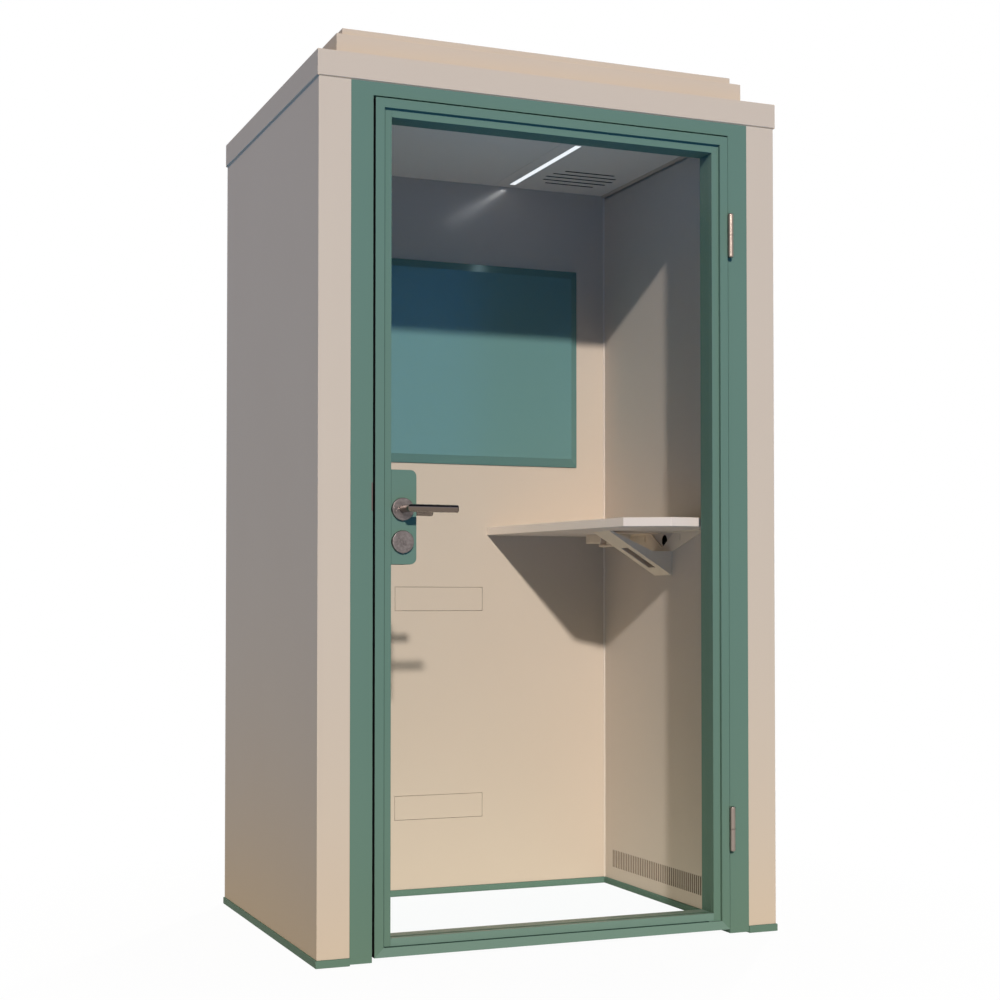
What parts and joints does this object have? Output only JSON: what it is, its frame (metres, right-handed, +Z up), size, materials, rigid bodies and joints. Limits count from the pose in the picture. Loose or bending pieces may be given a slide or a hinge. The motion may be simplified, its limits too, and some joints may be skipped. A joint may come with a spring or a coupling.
{
  "type": "acoustic office pod",
  "caption": "One-person acoustic booth with insulated walls, outward-opening glazed door, side desk, bevelled wall board, ceiling light strip and roof fan housing.",
  "frame": {"origin": "on the floor, under the middle of the whole booth's bounding box", "axes": "+X to the hinge side of the door seen from outside, +Y from the door to the back wall, +Z up"},
  "size_m": [1.207, 0.9764, 2.18],
  "materials": {
    "shell_paint": "satin",
    "frame_paint": "satin",
    "infill": "matte",
    "board_felt": "matte",
    "desk_laminate": "satin",
    "satin_steel": "satin",
    "channel_aluminium": "satin",
    "light_lens": "satin",
    "pane_glass": "gloss",
    "seal_rubber": "matte",
    "dark_plastic": "matte"
  },
  "bodies": {
    "cabin": {"base_frame": "frame_paint", "left_outer_skin": "shell_paint", "left_wall_core": "infill", "left_inner_skin": "shell_paint", "right_outer_skin": "shell_paint", "right_wall_core": "infill", "right_inner_skin": "shell_paint", "back_outer_skin": "shell_paint", "back_wall_core": "infill", "back_inner_skin": "shell_paint", "hatch_upper": "shell_paint", "hatch_lower": "shell_paint", "ceiling_panel": "shell_paint", "ceiling_service_panel": "shell_paint", "led_channel": "channel_aluminium", "led_diffuser": "light_lens", "roof_core": "infill", "roof_cap": "shell_paint", "fan_frame": "dark_plastic", "power_supply": "dark_plastic", "roof_housing": "shell_paint", "roof_housing_lid": "shell_paint", "acoustic_board": "board_felt", "desk_top": "desk_laminate", "desk_bracket": "shell_paint", "desk_power_box": "shell_paint", "power_box_strap": "shell_paint", "jamb_left": "frame_paint", "jamb_right": "frame_paint", "door_head": "frame_paint", "door_stop": "frame_paint", "door_seal": "seal_rubber", "strike_plate": "satin_steel", "hinge_upper_frame_knuckle": "satin_steel", "hinge_lower_frame_knuckle": "satin_steel"},
    "door": {"lock_stile": "frame_paint", "hinge_stile": "frame_paint", "top_rail": "frame_paint", "bottom_rail": "frame_paint", "bead_lock_side": "frame_paint", "bead_hinge_side": "frame_paint", "bead_top": "frame_paint", "bead_bottom": "frame_paint", "door_glass": "pane_glass", "lock_box_front": "frame_paint", "lock_box_back": "frame_paint", "lock_case": "satin_steel", "lever_rosette_outer": "satin_steel", "lever_rosette_inner": "satin_steel", "turn_rosette_outer": "satin_steel", "turn_rosette_inner": "satin_steel", "hinge_upper_door_knuckle": "satin_steel", "hinge_lower_door_knuckle": "satin_steel"},
    "lever": {"lever_outer": "satin_steel", "lever_inner": "satin_steel", "lock_follower": "satin_steel"},
    "latch": {"latch_bolt": "satin_steel"},
    "dead_bolt": {"dead_bolt": "satin_steel"},
    "turn": {"thumb_turn": "satin_steel"},
    "fan": {"fan_rotor": "dark_plastic"}
  },
  "joints": [
    {"name": "door_swing", "type": "hinge", "parent": "cabin", "child": "door", "pos_m": [0.4685, -0.43625, 1], "axis": [0, 0, 1], "range_deg": [0, 165]},
    {"name": "lever_press", "type": "hinge", "parent": "door", "child": "lever", "pos_m": [-0.3954, -0.39125, 1.045], "axis": [0, 1, 0], "range_deg": [0, 40], "stiffness_Nm_per_rad": 1.5},
    {"name": "latch_slide", "type": "slide", "parent": "door", "child": "latch", "axis": [-1, 0, 0], "range_m": [0, 0.011]},
    {"name": "thumb_turn", "type": "hinge", "parent": "door", "child": "turn", "pos_m": [-0.3954, -0.39125, 0.969], "axis": [0, 1, 0], "range_deg": [0, 90]},
    {"name": "dead_bolt_slide", "type": "slide", "parent": "door", "child": "dead_bolt", "axis": [-1, 0, 0], "range_m": [0, 0.016]},
    {"name": "fan_spin", "type": "hinge", "parent": "cabin", "child": "fan", "pos_m": [0.367, 0.24975, 2.117], "axis": [0, 0, 1], "continuous": true}
  ],
  "couplings": [
    {"joint": "thumb_turn", "follows": "dead_bolt_slide", "rad_per_m": 98.17}
  ]
}
